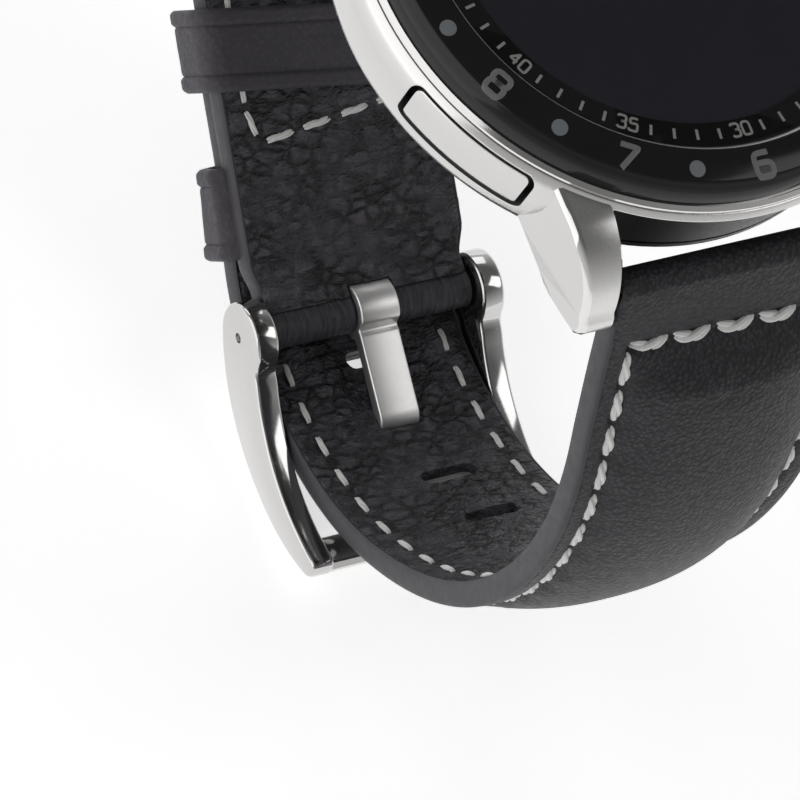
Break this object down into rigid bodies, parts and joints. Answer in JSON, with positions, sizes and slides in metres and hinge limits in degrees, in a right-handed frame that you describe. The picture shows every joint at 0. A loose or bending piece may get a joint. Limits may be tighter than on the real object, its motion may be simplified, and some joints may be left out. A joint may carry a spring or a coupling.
{
  "type": "smartwatch",
  "caption": "Round smartwatch with steel case, black numbered bezel, pushers and a padded leather strap closed by a pin buckle.",
  "frame": {"origin": "centre of the flat sensor face on the case back", "axes": "+Z looks out of the display, +Y points to 12 o'clock, +X to 3 o'clock"},
  "size_m": [0.0458, 0.0715, 0.0701],
  "materials": {
    "steel": "polished and brushed stainless steel",
    "case_black": "satin black",
    "bezel_ceramic": "gloss black ceramic",
    "cover_glass": "clear coated glass",
    "seal_rubber": "soft",
    "dial_print": "printed ring",
    "display": "dark display, switched off",
    "inner_plastic": "moulded",
    "circuit_board": "solder resist",
    "chip_plastic": "moulded",
    "battery_foil": "foil",
    "small_metal": "machined",
    "copper": "enamelled wire",
    "sensor_lens": "lens",
    "sensor_glass": "tinted window",
    "strap_leather": "fine pebble grain, charcoal black",
    "lining_leather": "creased grain, black",
    "padding": "felt filler"
  },
  "bodies": {
    "watch": {"mid_case": "steel", "inner_case": "case_black", "bezel_carrier": "steel", "bezel_insert": "bezel_ceramic", "cover_glass": "cover_glass", "glass_gasket": "seal_rubber", "minute_ring": "dial_print", "display_panel": "display", "display_frame": "inner_plastic", "main_board": "circuit_board", "board_chips": "chip_plastic", "battery_tray": "inner_plastic", "battery": "battery_foil", "vibration_motor": "small_metal", "speaker": "chip_plastic", "charging_coil": "copper", "ferrite_sheet": "chip_plastic", "sensor_board": "circuit_board", "optical_sensors": "sensor_lens", "sensor_window": "sensor_glass", "back_cover": "case_black", "back_gasket": "seal_rubber", "case_screws": "small_metal", "pusher_seals": "seal_rubber", "pusher_switches": "chip_plastic", "spring_bar_tubes": "small_metal", "spring_bar_coils": "small_metal", "long_strap_lining": "lining_leather", "long_strap_padding": "padding", "long_strap_upper": "strap_leather", "short_strap_lining": "lining_leather", "short_strap_padding": "padding", "short_strap_upper": "strap_leather", "fixed_keeper": "strap_leather"},
    "pusher_2": {"pusher_cap_2": "steel", "pusher_clip_2": "small_metal"},
    "pusher_4": {"pusher_cap_4": "steel", "pusher_clip_4": "small_metal"},
    "pusher_8": {"pusher_cap_8": "steel", "pusher_clip_8": "small_metal"},
    "pusher_10": {"pusher_cap_10": "steel", "pusher_clip_10": "small_metal"},
    "pin_6_left": {"bar_pin_6_left": "small_metal"},
    "pin_6_right": {"bar_pin_6_right": "small_metal"},
    "pin_12_left": {"bar_pin_12_left": "small_metal"},
    "pin_12_right": {"bar_pin_12_right": "small_metal"},
    "buckle": {"buckle_frame": "steel", "buckle_bar": "steel"},
    "tongue": {"buckle_tongue": "steel"},
    "keeper": {"free_keeper": "strap_leather"}
  },
  "joints": [
    {"name": "pusher_2_press", "type": "slide", "parent": "watch", "child": "pusher_2", "axis": [-0.8415, -0.5402, 0], "range_m": [0, 0.00045], "stiffness_N_per_m": 3000},
    {"name": "pusher_4_press", "type": "slide", "parent": "watch", "child": "pusher_4", "axis": [-0.8415, 0.5402, 0], "range_m": [0, 0.00045], "stiffness_N_per_m": 3000},
    {"name": "pusher_8_press", "type": "slide", "parent": "watch", "child": "pusher_8", "axis": [0.8415, 0.5402, 0], "range_m": [0, 0.00045], "stiffness_N_per_m": 3000},
    {"name": "pusher_10_press", "type": "slide", "parent": "watch", "child": "pusher_10", "axis": [0.8415, -0.5402, 0], "range_m": [0, 0.00045], "stiffness_N_per_m": 3000},
    {"name": "pin_6_left_retract", "type": "slide", "parent": "watch", "child": "pin_6_left", "axis": [1, 0, 0], "range_m": [0, 0.0011], "stiffness_N_per_m": 1500},
    {"name": "pin_6_right_retract", "type": "slide", "parent": "watch", "child": "pin_6_right", "axis": [-1, 0, 0], "range_m": [0, 0.0011], "stiffness_N_per_m": 1500},
    {"name": "pin_12_left_retract", "type": "slide", "parent": "watch", "child": "pin_12_left", "axis": [1, 0, 0], "range_m": [0, 0.0011], "stiffness_N_per_m": 1500},
    {"name": "pin_12_right_retract", "type": "slide", "parent": "watch", "child": "pin_12_right", "axis": [-1, 0, 0], "range_m": [0, 0.0011], "stiffness_N_per_m": 1500},
    {"name": "buckle_hinge", "type": "hinge", "parent": "watch", "child": "buckle", "pos_m": [0, -0.0012, -0.051], "axis": [1, 0, 0], "range_deg": [0, 80]},
    {"name": "tongue_hinge", "type": "hinge", "parent": "watch", "child": "tongue", "pos_m": [0, -0.0012, -0.051], "axis": [1, 0, 0], "range_deg": [-1.2, 0]},
    {"name": "keeper_slide", "type": "slide", "parent": "watch", "child": "keeper", "axis": [0, 0.891, 0.454], "range_m": [-0.002, 0.0015]}
  ]
}
